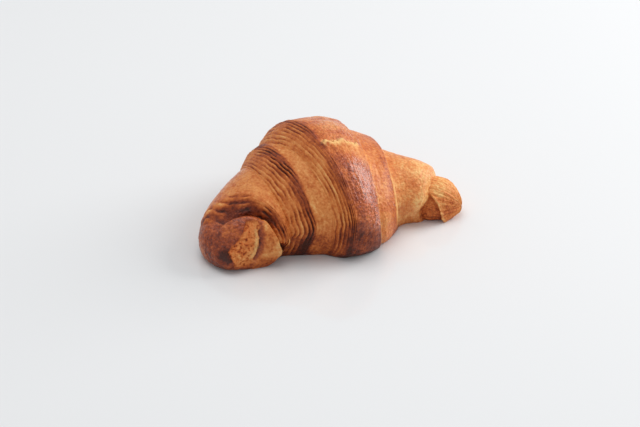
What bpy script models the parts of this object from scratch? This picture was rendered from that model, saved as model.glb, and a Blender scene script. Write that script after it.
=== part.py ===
"""A baked croissant: a triangle of laminated dough rolled from its base to its point and bent to a crescent.

The solid is one closed crust. Its shape is a cross-section swept along a bent spine that lies flat,
and each edge of the rolled triangle makes a step that winds round the roll towards a horn.
The frame is in metres, +Z up, with the origin under the middle of the croissant on the surface it lies on.
+X runs from the plump curled horn (west) to the slender horn (east), and the horns bend towards -Y (the front).
"""

from math import pi, radians

import bmesh
import bpy
import numpy as np

# Driving dimensions.
SPINE_HALF_LENGTH = 0.079  # along the bent spine, from the middle to either tip
SPINE_BEND = radians(44)  # how far the spine has turned at either tip
WEST_CURL = radians(30)  # further turn of the west horn's tip
WEST_CURL_START = -0.60  # where along the spine that turn begins
CURL_EASE = 1.5

# Cross-sections along the spine: position (-1 west tip, +1 east tip), half width, height.
SECTIONS = (
    (-1.00, 0.0104, 0.0160),
    (-0.84, 0.0213, 0.0245),
    (-0.62, 0.0298, 0.0340),
    (-0.38, 0.0386, 0.0451),
    (-0.09, 0.0512, 0.0567),
    (0.07, 0.0512, 0.0556),
    (0.20, 0.0498, 0.0512),
    (0.38, 0.0422, 0.0398),
    (0.60, 0.0228, 0.0328),
    (0.84, 0.0148, 0.0245),
    (1.00, 0.0080, 0.0165),
)
WIDEST_AT = 0.40  # height of the widest point, as a share of the height
CROWN_POWER = 1.81  # 2 is an ellipse, more is squarer
FOOT_POWER = 3.0
FOOT_SINK = 0.14  # share of the height cut away where the dough settled flat on its tray
WEST_ROUNDING = 0.20  # share of the half length over which a tip closes
EAST_ROUNDING = 0.13
# How much narrower the front of the roll is at its foot, where it curls under: place along the spine, share.
TUCK = (
    (-1.00, 0.00),
    (-0.88, 0.03),
    (-0.74, 0.15),
    (-0.58, 0.24),
    (-0.45, 0.15),
    (-0.35, 0.07),
    (-0.10, 0.02),
    (0.06, 0.00),
    (0.44, 0.00),
    (0.67, 0.20),
    (0.80, 0.00),
    (1.00, 0.00),
)
TUCK_FROM = radians(72)  # angle from the top where the roll begins to curl under
TUCK_OVER = radians(55)

# Steps of the roll, west to east: position at the top of the roll, depth, length of the slope that climbs
# to the wrap above, how much further east the step runs at the front than at the top, and which way along
# the spine it faces.
STEPS = (
    (-0.662, 0.0078, 0.0048, 0.05, -1),
    (-0.479, 0.0045, 0.0120, -0.07, -1),
    (-0.232, 0.0050, 0.0120, 0.03, -1),
    (0.262, 0.0050, 0.0022, 0.02, 1),
    (0.460, 0.0061, 0.0022, 0.03, 1),
    (0.790, 0.0045, 0.0030, -0.05, 1),
)
STEP_PITCH = 0.18  # how far a step travels along the spine in one turn round the roll
SLOPE_POWER = 1.7
BACK_POWER = 1.6
BACK_SHARE = 0.75  # share of the lower wrap over which the roll swells again below a step
HORN_BACK = 0.022
STEPS_FADE_FROM = radians(90)  # angle from the top where the steps begin to be pressed flat
STEPS_FADE_TO = radians(150)
STEP_RETURN = radians(150)

# The first step is the groove round the west horn: angle, place of the horn's rim, place of the collar's edge.
NOSE_GROOVE = (
    (-180, -0.700, -0.640),
    (-75, -0.790, -0.710),
    (-45, -0.808, -0.705),
    (-28, -0.794, -0.660),
    (-14, -0.768, -0.640),
    (4, -0.712, -0.632),
    (20, -0.684, -0.627),
    (36, -0.674, -0.622),
    (60, -0.697, -0.640),
    (80, -0.708, -0.650),
    (106, -0.650, -0.600),
    (145, -0.650, -0.600),
    (180, -0.700, -0.640),
)
NOSE_GROOVE_OPEN = radians(-56)  # the groove is shallow on the outer side of the bend
NOSE_GROOVE_DEEP = radians(-22)
NOSE_GROOVE_LEAST = 0.05
NOSE_BACK = 0.0070  # how quickly the horn rounds over into its groove
EAST_TUCK = 0.09  # the last step tucks back under the roll at the front
EAST_TUCK_FROM = radians(60)
EAST_TUCK_OVER = radians(60)

# The dough's point, which ends on top of the middle wrap in a torn, raised edge.
FLAP_EDGE = radians(11)
FLAP_DEPTH = 0.0020
FLAP_REACH = radians(26)
FLAP_WEST = -0.10
FLAP_EAST = 0.25
FLAP_SIDE = 0.05
FLAP_RAGGED = radians(2.2)
FLAP_LIP = 0.0010
FLAP_LIP_WIDTH = radians(4)

# Mesh density.
ROUND = 56
ROWS_PER_WRAP = 11
SPINE_SAMPLES = 801

CRUST_COLOUR = (0.42, 0.17, 0.05, 1.0)
CRUST_ROUGHNESS = 0.45


def clear_scene():
    for obj in list(bpy.data.objects):
        bpy.data.objects.remove(obj)


def smoothstep(t):
    t = np.clip(t, 0.0, 1.0)
    return t * t * (3 - 2 * t)


def curve_through(knots, values, at):
    """A smooth curve through the knots that never overshoots them."""
    knots, values = np.asarray(knots, float), np.asarray(values, float)
    gaps = np.diff(knots)
    slopes = np.diff(values) / gaps
    tangents = np.zeros(len(knots))
    same_way = slopes[1:] * slopes[:-1] > 0
    ahead, behind = 2 * gaps[1:] + gaps[:-1], gaps[1:] + 2 * gaps[:-1]
    with np.errstate(divide="ignore", invalid="ignore"):
        mean = (ahead + behind) / (ahead / slopes[:-1] + behind / slopes[1:])
    tangents[1:-1] = np.where(same_way, mean, 0.0)
    tangents[0], tangents[-1] = slopes[0], slopes[-1]
    i = np.clip(np.searchsorted(knots, at) - 1, 0, len(gaps) - 1)
    t = (at - knots[i]) / gaps[i]
    return (
        values[i] * (2 * t**3 - 3 * t**2 + 1)
        + tangents[i] * gaps[i] * (t**3 - 2 * t**2 + t)
        + values[i + 1] * (3 * t**2 - 2 * t**3)
        + tangents[i + 1] * gaps[i] * (t**3 - t**2)
    )


def spine_at(s):
    """Place (x, y) and heading of the spine at s. The heading is 0 at the middle."""
    grid = np.linspace(-1.0, 1.0, SPINE_SAMPLES)
    curl = np.clip((WEST_CURL_START - grid) / (1 + WEST_CURL_START), 0, 1) ** CURL_EASE
    heading = -SPINE_BEND * grid + WEST_CURL * curl
    middle = (heading[1:] + heading[:-1]) / 2
    stride = np.diff(grid) * SPINE_HALF_LENGTH
    x = np.concatenate([[0], np.cumsum(np.cos(middle) * stride)])
    y = np.concatenate([[0], np.cumsum(np.sin(middle) * stride)])
    x -= x[SPINE_SAMPLES // 2]
    y -= y[SPINE_SAMPLES // 2]
    return np.interp(s, grid, x), np.interp(s, grid, y), np.interp(s, grid, heading)


def groove_row(angle, column):
    """The horn's rim (column 1) or the collar's edge (column 2) of the groove round the west horn."""
    return curve_through([radians(row[0]) for row in NOSE_GROOVE], [row[column] for row in NOSE_GROOVE], angle)


def step_lines(angle):
    """Where each step runs: its place along the spine for each angle from the top (front positive)."""
    away = np.abs(angle)
    back = 1 - smoothstep((away - STEP_RETURN) / (pi - STEP_RETURN))
    turns = np.sign(angle) * np.minimum(away, STEP_RETURN) / (2 * pi) * back
    lines = [
        place + faces * STEP_PITCH * turns + lean * np.sin(angle)
        for place, _, _, lean, faces in STEPS
    ]
    lines[0] = groove_row(angle, 1)
    lines[-1] = lines[-1] - EAST_TUCK * smoothstep((angle - EAST_TUCK_FROM) / EAST_TUCK_OVER) * back
    return lines


def nose_groove(angle):
    """How deep the groove over the west horn is, from the outer side of the bend to the top."""
    open_share = (angle - NOSE_GROOVE_OPEN) / (NOSE_GROOVE_DEEP - NOSE_GROOVE_OPEN)
    return NOSE_GROOVE_LEAST + (1 - NOSE_GROOVE_LEAST) * smoothstep(open_share)


def ragged(s):
    """A torn edge's wander, about -1 to 1."""
    return 0.5 * np.sin(47 * s + 0.6) + 0.3 * np.sin(96 * s + 2.0) + 0.2 * np.sin(171 * s)


def flap_depth(s, angle):
    """How far the crust behind the dough's point lies under the point, whose own edge is raised."""
    edge = FLAP_EDGE + FLAP_RAGGED * ragged(s)
    behind = np.clip((edge - angle) / FLAP_REACH, 0, 1)
    depth = np.where(angle < edge, FLAP_DEPTH * (1 - smoothstep(behind)), 0.0)
    from_lip = (angle - edge - FLAP_LIP_WIDTH) / FLAP_LIP_WIDTH
    depth = depth - FLAP_LIP * np.exp(-(from_lip**2))
    across = smoothstep((s - FLAP_WEST) / FLAP_SIDE) * smoothstep((FLAP_EAST - s) / FLAP_SIDE)
    return depth * across


def step_depth(s, angle, lines):
    """How far the crust lies under the roll's outer envelope."""
    total = np.zeros_like(s)
    for k, (_, depth, slope, _, faces) in enumerate(STEPS):
        inward = (lines[k] - s) * faces * SPINE_HALF_LENGTH
        lower = k + faces
        if 0 <= lower < len(STEPS) and STEPS[lower][4] == faces:
            wrap = np.abs(lines[lower] - lines[k]) * SPINE_HALF_LENGTH
        else:
            wrap = HORN_BACK
        back = wrap * BACK_SHARE
        if k == 0:
            slope = (groove_row(angle, 2) - lines[0]) * SPINE_HALF_LENGTH
            back = NOSE_BACK
        climb = np.clip(1 - inward / slope, 0, 1) ** SLOPE_POWER
        swell = np.clip(1 + inward / back, 0, 1) ** BACK_POWER
        groove = depth * np.where(inward >= 0, climb, swell)
        if k == 0:
            groove = groove * nose_groove(angle)
        total += groove
    total += flap_depth(s, angle)
    pressed = (STEPS_FADE_TO - np.abs(angle)) / (STEPS_FADE_TO - STEPS_FADE_FROM)
    return total * np.clip(pressed, 0, 1)


def crust_points(s, angle):
    """Points of the crust for arrays of places along the spine and angles from the top."""
    knots = [row[0] for row in SECTIONS]
    half_width = curve_through(knots, [row[1] for row in SECTIONS], s)
    height = curve_through(knots, [row[2] for row in SECTIONS], s)
    west = np.clip((WEST_ROUNDING - 1 - s) / WEST_ROUNDING, 0, 1)
    east = np.clip((EAST_ROUNDING - 1 + s) / EAST_ROUNDING, 0, 1)
    closing = np.sqrt(np.clip(1 - west**2, 0, 1) * np.clip(1 - east**2, 0, 1))
    up, out = np.cos(angle), np.sin(angle)
    power = np.where(up > 0, CROWN_POWER, FOOT_POWER)
    reach = (np.abs(out) ** power + np.abs(up) ** power) ** (-1 / power)
    tall = np.where(up > 0, 1 - WIDEST_AT, WIDEST_AT + FOOT_SINK) * height * closing
    tuck = curve_through([row[0] for row in TUCK], [row[1] for row in TUCK], s)
    tuck = tuck * smoothstep((angle - TUCK_FROM) / TUCK_OVER)
    across = out * reach * half_width * closing * (1 - tuck)
    above = up * reach * tall
    radius = np.hypot(across, above) + 1e-9
    depth = step_depth(s, angle, step_lines(angle)) * closing
    shrink = np.clip(1 - depth / radius, 0.05, 1.2)
    x, y, heading = spine_at(s)
    across = across * shrink
    z = np.maximum(WIDEST_AT * height + above * shrink, 0)
    return np.stack([x + np.sin(heading) * across, y - np.cos(heading) * across, z], -1)


def row_places(angle):
    """Places along the spine of each ring, closer together near the steps and the tips."""
    lines = [np.full_like(angle, -1.0), *step_lines(angle), np.full_like(angle, 1.0)]
    rows = []
    for k in range(len(lines) - 1):
        t = np.arange(ROWS_PER_WRAP) / ROWS_PER_WRAP
        even = (1 - np.cos(pi * t)) / 2
        mixed = 0.5 * t + 0.5 * even
        if k == 0:
            mixed = t**1.5
        if k == len(lines) - 2:
            mixed = 1 - (1 - t) ** 1.5
        rows += [lines[k] + (lines[k + 1] - lines[k]) * share for share in mixed]
    return np.array(rows[1:])


def build_crust():
    angle = np.linspace(-pi, pi, ROUND, endpoint=False)
    places = row_places(angle)
    rings = crust_points(places, np.broadcast_to(angle, places.shape))
    tips = [crust_points(np.array(end), np.array(0.0)) for end in (-1.0, 1.0)]
    everything = np.concatenate([rings.reshape(-1, 3), np.array(tips)])
    low, high = everything.min(0), everything.max(0)
    middle = np.array([(low[0] + high[0]) / 2, (low[1] + high[1]) / 2, 0.0])
    mesh = bmesh.new()
    loops = [[mesh.verts.new(p) for p in ring] for ring in rings - middle]
    west_tip, east_tip = (mesh.verts.new(tip - middle) for tip in tips)
    for near, far in zip(loops, loops[1:]):
        for j in range(ROUND):
            after = (j + 1) % ROUND
            mesh.faces.new((near[j], near[after], far[after], far[j]))
    for j in range(ROUND):
        after = (j + 1) % ROUND
        mesh.faces.new((west_tip, loops[0][after], loops[0][j]))
        mesh.faces.new((east_tip, loops[-1][j], loops[-1][after]))
    bmesh.ops.recalc_face_normals(mesh, faces=mesh.faces)
    data = bpy.data.meshes.new("croissant")
    mesh.to_mesh(data)
    mesh.free()
    data.shade_smooth()
    data.materials.append(crust_material())
    crust = bpy.data.objects.new("croissant", data)
    bpy.context.scene.collection.objects.link(crust)
    return crust


def crust_material():
    material = bpy.data.materials.new("baked_crust")
    material.use_nodes = True
    shader = material.node_tree.nodes["Principled BSDF"]
    shader.inputs["Base Color"].default_value = CRUST_COLOUR
    shader.inputs["Roughness"].default_value = CRUST_ROUGHNESS
    shader.inputs["Metallic"].default_value = 0.0
    return material


clear_scene()
build_crust()
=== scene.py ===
"""Croissant: the finish of a plain baked croissant, laid out as an add-on.

The crust is one closed skin swept along a bent spine, with the steps of the rolled dough worked out from
the sizes below. Geometry Nodes then raise the laminated layers, wrinkles, furrows, blisters and torn crumb.
All sizes are in metres. +X runs from the plump west horn to the slender east horn, and -Y is the front.
"""

from math import cos, pi, radians, sin

import bpy
import numpy as np
from bpy.props import FloatProperty, FloatVectorProperty, IntProperty, PointerProperty
from mathutils import Matrix, Vector


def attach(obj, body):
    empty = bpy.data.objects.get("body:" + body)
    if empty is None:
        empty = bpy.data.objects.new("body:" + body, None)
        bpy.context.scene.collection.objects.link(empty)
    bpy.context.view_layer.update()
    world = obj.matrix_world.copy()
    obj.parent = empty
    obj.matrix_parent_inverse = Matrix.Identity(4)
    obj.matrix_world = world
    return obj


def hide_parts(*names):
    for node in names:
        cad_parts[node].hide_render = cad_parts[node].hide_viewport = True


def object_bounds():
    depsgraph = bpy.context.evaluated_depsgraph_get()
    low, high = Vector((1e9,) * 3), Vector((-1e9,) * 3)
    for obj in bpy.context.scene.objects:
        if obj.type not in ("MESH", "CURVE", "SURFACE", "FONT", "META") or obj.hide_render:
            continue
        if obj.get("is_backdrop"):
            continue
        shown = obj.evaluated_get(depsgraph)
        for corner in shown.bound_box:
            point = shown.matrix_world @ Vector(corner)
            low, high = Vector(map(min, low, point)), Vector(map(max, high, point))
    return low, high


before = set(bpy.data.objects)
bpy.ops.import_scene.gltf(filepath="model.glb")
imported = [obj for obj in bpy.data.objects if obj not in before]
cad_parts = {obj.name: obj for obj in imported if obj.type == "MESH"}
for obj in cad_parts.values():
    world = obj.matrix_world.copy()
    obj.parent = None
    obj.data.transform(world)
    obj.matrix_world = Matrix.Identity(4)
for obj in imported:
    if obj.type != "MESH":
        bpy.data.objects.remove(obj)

bl_info = {
    "name": "Croissant",
    "version": (1, 0, 0),
    "blender": (4, 5, 0),
    "location": "View3D > Sidebar > Croissant",
    "description": "Builds a baked croissant with laminated layers, blistered glaze and a torn horn",
    "category": "Object",
}

CAD_LOW, CAD_HIGH = (Vector(corner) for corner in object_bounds())
NODE = "croissant"

# ---------------------------------------------------------------- the roll, as the solid has it

SPINE_HALF_LENGTH = 0.079
SPINE_BEND = radians(44)
WEST_CURL = radians(30)
WEST_CURL_START = -0.60
CURL_EASE = 1.5

# Place along the spine (-1 west tip, +1 east tip), half width, height.
SECTIONS = (
    (-1.00, 0.0104, 0.0160),
    (-0.84, 0.0213, 0.0245),
    (-0.62, 0.0298, 0.0340),
    (-0.38, 0.0386, 0.0451),
    (-0.09, 0.0512, 0.0567),
    (0.07, 0.0512, 0.0556),
    (0.20, 0.0498, 0.0512),
    (0.38, 0.0422, 0.0398),
    (0.60, 0.0228, 0.0328),
    (0.84, 0.0148, 0.0245),
    (1.00, 0.0080, 0.0165),
)
WIDEST_AT = 0.40
CROWN_POWER = 1.81
FOOT_POWER = 3.0
FOOT_SINK = 0.14
WEST_ROUNDING = 0.20
EAST_ROUNDING = 0.13
# How much narrower the front of the roll is at its foot, where it curls under: place along the spine, share.
TUCK = (
    (-1.00, 0.00), (-0.88, 0.03), (-0.74, 0.15), (-0.58, 0.24), (-0.45, 0.15), (-0.35, 0.07),
    (-0.10, 0.02), (0.06, 0.00),
    (0.44, 0.00), (0.67, 0.20), (0.80, 0.00), (1.00, 0.00),
)
TUCK_FROM = radians(72)
TUCK_OVER = radians(55)

# Steps of the roll, west to east: place at the top, depth, length of the slope up to the wrap above, how much
# further east the step runs at the front than at the top, and which way along the spine it faces. The first
# step is the groove round the west horn. NOSE_GROOVE gives its course and slope, so they are 0 here.
STEPS = (
    (-0.662, 0.0078, 0.0, 0.0, -1),
    (-0.479, 0.0045, 0.0120, -0.07, -1),
    (-0.232, 0.0050, 0.0120, 0.03, -1),
    (0.262, 0.0050, 0.0022, 0.02, 1),
    (0.460, 0.0061, 0.0022, 0.03, 1),
    (0.790, 0.0045, 0.0030, -0.05, 1),
)
STEP_PITCH = 0.18
SLOPE_POWER = 1.7
BACK_POWER = 1.6
BACK_SHARE = 0.75
HORN_BACK = 0.022
STEPS_FADE_FROM = radians(90)
STEPS_FADE_TO = radians(150)
STEP_RETURN = radians(150)
# The groove round the west horn: angle in degrees, place of the horn's rim, place of the collar's edge.
NOSE_GROOVE = (
    (-180, -0.700, -0.640), (-75, -0.790, -0.710), (-45, -0.808, -0.705), (-28, -0.794, -0.660),
    (-14, -0.768, -0.640), (4, -0.712, -0.632), (20, -0.684, -0.627), (36, -0.674, -0.622),
    (60, -0.697, -0.640), (80, -0.708, -0.650), (106, -0.650, -0.600), (145, -0.650, -0.600),
    (180, -0.700, -0.640),
)
NOSE_GROOVE_OPEN = radians(-56)  # the groove starts to open here, from its least share of depth
NOSE_GROOVE_DEEP = radians(-22)
NOSE_GROOVE_LEAST = 0.05
NOSE_BACK = 0.0070  # how quickly the horn rounds over into its groove
EAST_TUCK = 0.09  # the last step tucks back under the roll at the front
EAST_TUCK_FROM = radians(60)
EAST_TUCK_OVER = radians(60)

# The dough's point, which ends on top of the middle wrap in a torn edge.
FLAP_EDGE = radians(11)
FLAP_DEPTH = 0.0020
FLAP_REACH = radians(26)
FLAP_WEST = -0.10
FLAP_EAST = 0.25
FLAP_SIDE = 0.05
FLAP_RAGGED = radians(2.2)
FLAP_LIP = 0.0010
FLAP_LIP_WIDTH = radians(4)

# ---------------------------------------------------------------- the torn west horn, seen end on

NOSE_MIDDLE = (-0.93, radians(22))  # place along the spine and angle round it
NOSE_AZIMUTH = radians(-24)
NOSE_ELEVATION = radians(32)
# Height on the end face, and how far east the torn crumb starts and stops there.
CRUMB_EDGES = (
    (-0.0125, -0.0030, 0.0040),
    (-0.0090, -0.0050, 0.0066),
    (-0.0064, -0.0066, 0.0088),
    (-0.0036, -0.0082, 0.0104),
    (0.0010, -0.0034, 0.0114),
    (0.0060, 0.0004, 0.0110),
    (0.0105, 0.0014, 0.0102),
    (0.0130, 0.0020, 0.0096),
)
CRUMB_SOFTNESS = 0.0008
CRUMB_SINK = 0.0012
CRACK_DEPTH = 0.0024
CRACK_WIDTH = 0.0007
CRACK_TOP = 0.0100
CRACK_FOOT = -0.0090
CRACK_FADE = 0.002
RIM_INSIDE, RIM_WIDTH = 0.0024, 0.0016  # the crumb's pale rim beside the crack, a painted highlight
LENS = (-0.0048, 0.0075, 0.0078, 0.0068)  # east, up, half width, half height
LENS_RISE = 0.0011
LENS_EDGE = 0.10  # share of the lens over which its edge rises
LENS_OVERLAP = 0.001
HOLLOW = (-0.0086, -0.0064, 0.0058, 0.0050)
HOLLOW_DEPTH = 0.0030
HOLLOW_EDGE = 0.35
SIDE_FLAP_RISE = 0.0010
SIDE_FLAP_EDGE = 0.001
SIDE_FOOT_TOP, SIDE_FOOT_FADE = -0.0050, 0.004
BURNT_REACH, BURNT_REACH_FADE = 0.0040, 0.002  # the side flap's burnt stretch, east of the crack
BURNT_FOOT, BURNT_TOP, BURNT_FADE = -0.006, 0.008, 0.003
LOWER_TOP, LOWER_FADE = 0.005, 0.006
# The torn end reaches this far east along the spine, and this far behind the end face.
NOSE_REACH, NOSE_REACH_FADE = -0.66, 0.04
NOSE_BEHIND, NOSE_BEHIND_FADE = 0.012, 0.004

# ---------------------------------------------------------------- the fold on the east horn

# Angle round the roll in degrees and place along the spine of the fold's edge.
FOLD = ((52, 0.780), (63, 0.819), (74, 0.853), (101, 0.887), (130, 0.905))
FOLD_START = (48, 14)  # degrees round the roll, and over how many
FOLD_STOP = (140, 20)
FOLD_SOFTNESS = 0.0010
FOLD_HOLLOW = 0.0022
FOLD_RISE = 0.0008
FOLD_WIDTH = 0.0011
FOLD_TORN_FADE = 0.002

# ---------------------------------------------------------------- baking of the wraps (0 pale, 1 burnt), and painted shade

MIDDLE_WRAP = 3  # the wrap on top of the roll, as wraps are counted from 0 at the west tip
# West wraps: at the foot of the laminated slope, at its crest, and on the roof behind it.
WEST_BAKE = ((0.60, 0.66, 0.56), (0.62, 0.46, 0.38), (0.42, 0.78, 0.32), (0.42, 0.70, 0.55))
# Where a change on a slope starts and how long it takes, as shares of the slope's length.
CREST_BAKED = (0.35, 0.55)
ROOF_BAKED = (1.0, 0.25)
RECESS_SHADED = (0.55, 0.30)
LAYERS_START = (0.2, 0.4)
LAYERS_STOP = (0.95, 0.25)
SLOPE_STOP = (0.9, 0.2)
FOOT_LAYERS, ROOF_LAYERS = 0.45, 0.10  # strength of the layers at a slope's foot and on the roof
GROOVE_SHADE_AND_BURN = 0.24  # darker in the groove over the west horn: painted shade in the recess, with some extra baking
# East wraps: beside the wrap above, in the middle, and by their own edge.
EAST_BAKE = ((0.28, 0.37, 0.54), (0.18, 0.25, 0.14), (0.28, 0.18, 0.26))
OUTER_BAKED = (0.45, 0.35)  # as shares of the wrap
SHELTER = 0.004  # how far the wrap above shades a wrap from the oven's heat
# The middle wrap's roof. Pairs are degrees round the roll, and over how many. Its low and west low levels are
# partly deeper baking and partly painted shade low on the front.
MIDDLE_BAKE = {
    "top": 0.36, "front": 0.53, "west front": 0.76, "low": 0.82, "west low": 1.0,
    "behind": 0.34, "back": 0.60,
}
MIDDLE_ROOF_FROM = 0.95  # share of the slope up to it
MIDDLE_WEST = (0.20, 0.12)  # along the spine, from the step up to the wrap
MIDDLE_FRONT = (18, 16)
MIDDLE_LOW = (82, 18)
MIDDLE_BACK = (30, 40)
BEHIND_EDGE, BEHIND_EDGE_FADE = radians(2), radians(4)
BEHIND_START = (-75, 50)
# The torn west horn and the fold on the east horn.
NOSE_BAKE = {"lens": 0.68, "crumb": 0.34, "side": 0.22, "burnt": 0.44, "side_foot": 0.56}
NOSE_SHADE = 0.94  # painted shade in the hollow and the crack, as a near-burnt level of baking
LOWER_BAKE, LOWER_SHARE = 0.80, 0.6
LOWER_FROM, LOWER_OVER = radians(40), radians(30)
FOLD_POCKET_BAKE, FOLD_TORN_BAKE = 0.52, 0.34
# Painted shade low on the front of two wraps, and darker all along the foot, a darker baked base with painted
# contact shade.
LOW_FRONT_SHADE = 0.24
LOW_FRONT_SHADE_START = (74, 28)
LOW_FRONT_SHADE_WRAPS = (2, 3)
FOOT_SHADE_AND_BURN = 0.14
FOOT_SHADE_HEIGHT = 0.007

# ---------------------------------------------------------------- other marks of the crust

LIP_WIDTH = (0.0009, 0.0011, 0.0022)  # pale lips of the middle wrap and of the two wraps east of it: paler dough with a painted highlight along the edge
LIP_PALE_AND_HIGHLIGHT = (0.85, 1.0, 0.45)
LIP_INSIDE = 0.0006
TORN_EDGE_PLACE, TORN_EDGE_WIDTH = radians(1.4), radians(4.2)
FLECKS_PALE = 0.42  # pale flecks before the torn edge
FLECKS_START = (0, 2)
FLECKS_STOP = (0, 17)
PALE_LOST_BEHIND = 0.45
PALE_LOST_START = (35, 30)
# Painted highlight on the crumb's rim beside the crack.
CRUMB_RIM_HIGHLIGHT = 0.75
FOLD_PALE = 0.6
FOLD_CRUMB = 0.25
# Egg wash behind the torn edge, at the back, on the east wraps and on the west horn's end.
LOW_UNGLAZED = 0.9  # share of the wash that is missing low on the front
ALONG_GLAZE = 0.65
BACK_GLAZE = 0.45
BACK_GLAZE_START = (20, 40)
EAST_GLAZE = 0.25
EAST_GLAZED_WRAPS = (4, 5)
NOSE_GLAZE = 0.5
FURROWED_WRAP = 6  # the tip of the east horn
ALONG_STOP = (60, 20)
FREE_HEIGHT = 0.004  # relief fades out below this height, where the crust lies flat
PATTERN_RADIUS = 0.030  # radius on which patterns run round the roll

# ---------------------------------------------------------------- patterns of the relief

# A pattern is its repeats to the metre, detail and roughness. A smaller DRAWN draws it out longer.
WANDER = (55.0, 2.0, 0.5)
FLUTTER = (240.0, 1.0, 0.5)
FLUTTER_SHARE = 0.16
TERRACE_POWER = 0.7
TERRACE_DROP = 4.5
LAYER_PATCHES = (125.0, 2.0, 0.5)
LAYER_PATCH_SPAN = (0.38, 0.60, 0.12, 1.6)  # span of the pattern, and the strengths that it stands for
LAYER_STRENGTH = (0.35, 1.3)
WRINKLES, WRINKLES_DRAWN = (620.0, 3.0, 0.5), 0.16
WRINKLES_UNDER_GLAZE = -0.5
FURROWS, FURROWS_DRAWN = (190.0, 2.0, 0.5), 0.22
BLISTER_WARP, BLISTER_WARP_SCALE = 0.002, 300.0
BLISTER_EDGE, BLISTER_POWER = 0.75, 1.5
BLISTERED, BLISTERED_SPAN = (160.0, 2.0, 0.5), (0.42, 0.58)
TORN_CRUMB = (380.0, 4.0, 0.65)
SLOW_SWELL = (34.0, 1.0, 0.5)

# ---------------------------------------------------------------- patterns of the crust's colour and gloss

ROUND_STREAKS, ROUND_STREAKS_DRAWN = (560.0, 3.0, 0.5), 0.13
LONG_STREAKS, LONG_STREAKS_DRAWN = (620.0, 3.0, 0.5), 0.12
BLOTCHES = (110.0, 5.0, 0.65)
SPECKS = (640.0, 3.0, 0.6)
PITS, PIT_SPAN = (520.0, 3.0, 0.5), (0.50, 0.34)
PALE_PATCHES, PALE_SPAN = (480.0, 3.0, 0.5), (0.30, 1.05)
GRIT = (950.0, 3.0, 0.5)
THREADS, THREADS_DRAWN = (1500.0, 2.0, 0.5), 0.12
THREAD_SPAN = (0.4, 1.0, 0.7, 0.1)
BUBBLE_SCALE, BUBBLE_EDGE, BUBBLE_RISE = 650.0, 0.7, 3.0
# How far each pattern shifts the baking. Pairs run from layered to plain crust, over this span of the mark.
PLAIN_SPAN = (0.5, 1.0)
STREAK_SHIFT = (0.62, 0.26)
SPECK_SHIFT = (0.45, 0.85)
ALONG_SHIFT = 0.40
BLOTCH_SHIFT = 0.85
# Painted shade in the gaps between layers and a painted highlight on their edges.
LAYER_SHADE_AND_HIGHLIGHT_SHIFT, LAYER_SHADE_AND_HIGHLIGHT_SPAN = 0.92, (-0.30, 0.60)
PIT_SHIFT = 0.45
PALE_SHIFT = 1.5
CRUMB_REDNESS = 0.5
REDNESS_SPAN = (0.35, 0.65, 0.4, 1.0)
# Roughness of plain crust, and what glaze, specks and crumb add to it.
CRUST_ROUGHNESS = 0.46
GLAZE_ROUGHNESS, SPECK_ROUGHNESS, CRUMB_ROUGHNESS = -0.16, 0.20, 0.25
GLAZE_COAT = 0.85
GRAIN_STRENGTH, GRAIN_HEIGHT = 0.9, 0.0008

# ---------------------------------------------------------------- stage

AIM = Vector((0.0021, 0.0051, 0.0))  # from the croissant's middle to the point the camera looks at
SENSOR_WIDTH = 36.0
FLOOR_HALF = 6.0
FLOOR_ROUGHNESS, FLOOR_IOR = 0.05, 1.45
# The lights as the camera sees them: to the right, away and up from the point it looks at.
WINDOW_PLACE, WINDOW_SIZE = Vector((1.15, 0.50, 0.62)), 1.0
TOP_PLACE, TOP_SIZE = Vector((-0.2, 0.2, 1.5)), 1.2
ROOM_COLOUR = (0.97, 0.985, 1.0, 1.0)
BACKDROP_LEVEL = 0.90

# ---------------------------------------------------------------- mesh density

COLUMNS = 176
ROWS = (62, 66, 92, 152, 54, 62, 64)
ROW_EASE = 0.4  # how far the rings crowd together beside the steps
TIP_EASE = 1.4
SPINE_SAMPLES = 801
ANGLE_SAMPLES = 2001
# Columns are twice as dense from this angle at the back to this angle at the front.
COLUMN_DENSITY = 0.55
DENSE_FROM, DENSE_FROM_OVER = radians(-140), radians(60)
DENSE_TO, DENSE_TO_OVER = radians(150), radians(40)
TINY = 1e-9  # keeps a ring's radius above nothing
SHRINK_LIMITS = (0.05, 1.2)  # how far steps may draw a ring in or out


# ---------------------------------------------------------------- small helpers

def smoothstep(t):
    t = np.clip(t, 0.0, 1.0)
    return t * t * (3 - 2 * t)


def bump(x, width):
    """1 at x = 0, falling off smoothly to nothing at about twice the width."""
    return np.exp(-((x / width) ** 2))


def ramp(value, start, over):
    """0 up to the start, then rising smoothly to 1."""
    return smoothstep((value - start) / over)


def turned(angle, start, over):
    """A ramp round the roll, with its start and its length in degrees."""
    return ramp(angle, radians(start), radians(over))


def mix(a, b, share):
    return a + (b - a) * share


def curve_through(knots, values, at):
    """A smooth curve through the knots that never overshoots them."""
    knots, values = np.asarray(knots, float), np.asarray(values, float)
    gaps = np.diff(knots)
    slopes = np.diff(values) / gaps
    tangents = np.zeros(len(knots))
    same_way = slopes[1:] * slopes[:-1] > 0
    ahead, behind = 2 * gaps[1:] + gaps[:-1], gaps[1:] + 2 * gaps[:-1]
    with np.errstate(divide="ignore", invalid="ignore"):
        mean = (ahead + behind) / (ahead / slopes[:-1] + behind / slopes[1:])
    tangents[1:-1] = np.where(same_way, mean, 0.0)
    tangents[0], tangents[-1] = slopes[0], slopes[-1]
    i = np.clip(np.searchsorted(knots, at) - 1, 0, len(gaps) - 1)
    t = (at - knots[i]) / gaps[i]
    return (
        values[i] * (2 * t**3 - 3 * t**2 + 1)
        + tangents[i] * gaps[i] * (t**3 - 2 * t**2 + t)
        + values[i + 1] * (3 * t**2 - 2 * t**3)
        + tangents[i + 1] * gaps[i] * (t**3 - t**2)
    )


# ---------------------------------------------------------------- the form of the roll

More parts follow.
